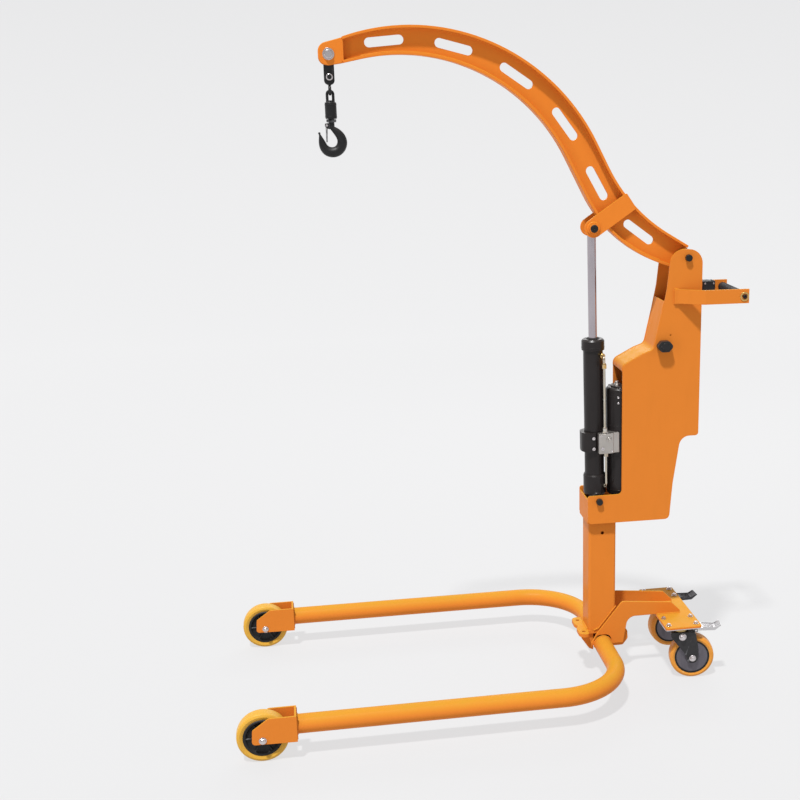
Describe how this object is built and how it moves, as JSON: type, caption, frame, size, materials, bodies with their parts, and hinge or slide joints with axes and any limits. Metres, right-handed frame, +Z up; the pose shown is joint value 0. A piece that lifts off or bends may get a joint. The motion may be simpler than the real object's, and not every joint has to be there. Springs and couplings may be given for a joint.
{
  "type": "engine hoist crane",
  "caption": "Mobile engine hoist: U-shaped tubular base on fixed front wheels and rear casters, mast housing, cranked slotted boom on a hydraulic ram, and a swivel hook.",
  "frame": {"origin": "on the floor, under the middle of the crane's length and width", "axes": "+X forward to the hook and the front wheels, +Y to the crane's left, +Z up"},
  "size_m": [1.609, 0.8996, 2.0363],
  "materials": {
    "frame_paint": "orange gloss paint over steel",
    "boom_paint": "orange gloss paint over steel, slightly redder in the recess",
    "housing_paint": "orange gloss paint on sheet steel",
    "front_tread": "golden yellow polyurethane",
    "rear_tread": "amber polyurethane",
    "wheel_core": "black moulded core",
    "rear_core": "dark grey core",
    "bolt_steel": "bright zinc-plated bolts",
    "yoke_steel": "dark pressed steel",
    "pedal_steel": "silver pedal",
    "pedal_dark": "dark pedal",
    "pin_black": "blackened pin",
    "knob_black": "black knob",
    "grip_rubber": "black grip",
    "pod_plastic": "black control box",
    "rocker_plastic": "black rocker",
    "ram_black": "black satin paint",
    "rod_chrome": "polished chrome",
    "valve_grey": "grey cast alloy",
    "pipe_zinc": "zinc-plated pipe",
    "hook_black": "black forged steel",
    "latch_grey": "grey sprung latch"
  },
  "bodies": {
    "base": {"leg_left": "frame_paint", "fork_left": "frame_paint", "rear_side_left": "frame_paint", "front_axle_left": "bolt_steel", "caster_plate_left": "bolt_steel", "housing_left": "housing_paint", "handle_arm_left": "housing_paint", "leg_right": "frame_paint", "fork_right": "frame_paint", "rear_side_right": "frame_paint", "front_axle_right": "bolt_steel", "caster_plate_right": "bolt_steel", "housing_right": "housing_paint", "handle_arm_right": "housing_paint", "foot_plate": "frame_paint", "column": "frame_paint", "rear_cross": "frame_paint", "shoulder_cover": "housing_paint", "rear_cover": "housing_paint", "nose_cover": "housing_paint", "pivot_pin": "pin_black", "foot_pin": "pin_black", "grip": "grip_rubber", "control_pod": "pod_plastic"},
    "front_wheel_left": {"front_tyre_left": "front_tread", "front_core_left": "wheel_core"},
    "caster_left": {"caster_yoke_left": "yoke_steel", "rear_axle_left": "bolt_steel"},
    "rear_wheel_left": {"rear_tyre_left": "rear_tread", "rear_core_left": "rear_core"},
    "pedal_left": {"brake_pedal_left": "pedal_steel"},
    "front_wheel_right": {"front_tyre_right": "front_tread", "front_core_right": "wheel_core"},
    "caster_right": {"caster_yoke_right": "yoke_steel", "rear_axle_right": "bolt_steel"},
    "rear_wheel_right": {"rear_tyre_right": "rear_tread", "rear_core_right": "rear_core"},
    "pedal_right": {"brake_pedal_right": "pedal_dark"},
    "boom": {"boom_web": "boom_paint", "boom_top_flange": "boom_paint", "boom_bottom_flange": "boom_paint", "boom_nose": "boom_paint", "strap_left": "boom_paint", "strap_right": "boom_paint", "nose_bolt": "bolt_steel"},
    "ram": {"ram_barrel": "ram_black", "ram_cap": "ram_black", "ram_clamp": "ram_black", "pump_unit": "ram_black", "valve_block": "valve_grey", "feed_pipe": "pipe_zinc"},
    "rod": {"rod": "rod_chrome"},
    "shackle": {"shackle": "hook_black", "shackle_bolt": "hook_black"},
    "link": {"link": "hook_black"},
    "swivel": {"swivel": "hook_black"},
    "hook": {"hook": "hook_black"},
    "latch": {"latch": "latch_grey"},
    "side_knob": {"side_knob": "knob_black"},
    "rocker": {"rocker": "rocker_plastic"}
  },
  "joints": [
    {"name": "front_wheel_spin_left", "type": "hinge", "parent": "base", "child": "front_wheel_left", "pos_m": [0.737, 0.403, 0.075], "axis": [0, 1, 0], "continuous": true},
    {"name": "caster_swivel_left", "type": "hinge", "parent": "base", "child": "caster_left", "pos_m": [-0.594, 0.122, 0.17], "axis": [0, 0, 1], "continuous": true},
    {"name": "rear_wheel_spin_left", "type": "hinge", "parent": "caster_left", "child": "rear_wheel_left", "pos_m": [-0.63361, 0.12757, 0.0725], "axis": [0.1392, 0.9903, 0], "continuous": true},
    {"name": "brake_press_left", "type": "hinge", "parent": "caster_left", "child": "pedal_left", "pos_m": [-0.64351, 0.12896, 0.1673], "axis": [0.1392, 0.9903, 0], "range_deg": [-12, 0]},
    {"name": "front_wheel_spin_right", "type": "hinge", "parent": "base", "child": "front_wheel_right", "pos_m": [0.737, -0.403, 0.075], "axis": [0, 1, 0], "continuous": true},
    {"name": "caster_swivel_right", "type": "hinge", "parent": "base", "child": "caster_right", "pos_m": [-0.594, -0.122, 0.17], "axis": [0, 0, 1], "continuous": true},
    {"name": "rear_wheel_spin_right", "type": "hinge", "parent": "caster_right", "child": "rear_wheel_right", "pos_m": [-0.63394, -0.12409, 0.0725], "axis": [-0.0523, 0.9986, 0], "continuous": true},
    {"name": "brake_press_right", "type": "hinge", "parent": "caster_right", "child": "pedal_right", "pos_m": [-0.64393, -0.12462, 0.1673], "axis": [-0.0523, 0.9986, 0], "range_deg": [-12, 0]},
    {"name": "boom_lift", "type": "hinge", "parent": "base", "child": "boom", "pos_m": [-0.614, 0, 1.36], "axis": [0, -1, 0], "range_deg": [-42, 5]},
    {"name": "ram_lean", "type": "hinge", "parent": "base", "child": "ram", "pos_m": [-0.338, 0, 0.597], "axis": [0, -1, 0], "range_deg": [-0.45, 0.06]},
    {"name": "rod_slide", "type": "slide", "parent": "ram", "child": "rod", "axis": [0.0164, 0, 0.9999], "range_m": [-0.2175, 0.0262]},
    {"name": "shackle_swing", "type": "hinge", "parent": "boom", "child": "shackle", "pos_m": [0.44, 0, 1.958], "axis": [0, 1, 0], "range_deg": [-60, 18]},
    {"name": "link_swing", "type": "hinge", "parent": "shackle", "child": "link", "pos_m": [0.44, 0, 1.896], "axis": [0, 1, 0], "range_deg": [-30, 30]},
    {"name": "swivel_swing", "type": "hinge", "parent": "link", "child": "swivel", "pos_m": [0.44, 0, 1.8574], "axis": [1, 0, 0], "range_deg": [-25, 25]},
    {"name": "hook_turn", "type": "hinge", "parent": "swivel", "child": "hook", "pos_m": [0.44, 0, 1.79], "axis": [0, 0, 1], "continuous": true},
    {"name": "latch_open", "type": "hinge", "parent": "hook", "child": "latch", "pos_m": [0.454, 0, 1.7635], "axis": [0, 1, 0], "range_deg": [0, 15], "stiffness_Nm_per_rad": 0.05, "springref_deg": -14.32},
    {"name": "knob_turn", "type": "hinge", "parent": "base", "child": "side_knob", "pos_m": [-0.541, 0.062, 1.091], "axis": [0, 1, 0], "range_deg": [0, 90]},
    {"name": "rocker_press", "type": "hinge", "parent": "base", "child": "rocker", "pos_m": [-0.724, -0.081, 1.2645], "axis": [0, 1, 0], "range_deg": [-6, 6], "stiffness_Nm_per_rad": 0.02}
  ],
  "couplings": [
    {"joint": "rod_slide", "follows": "boom_lift", "m_per_rad": 0.295},
    {"joint": "ram_lean", "follows": "boom_lift", "ratio": 0.01}
  ]
}
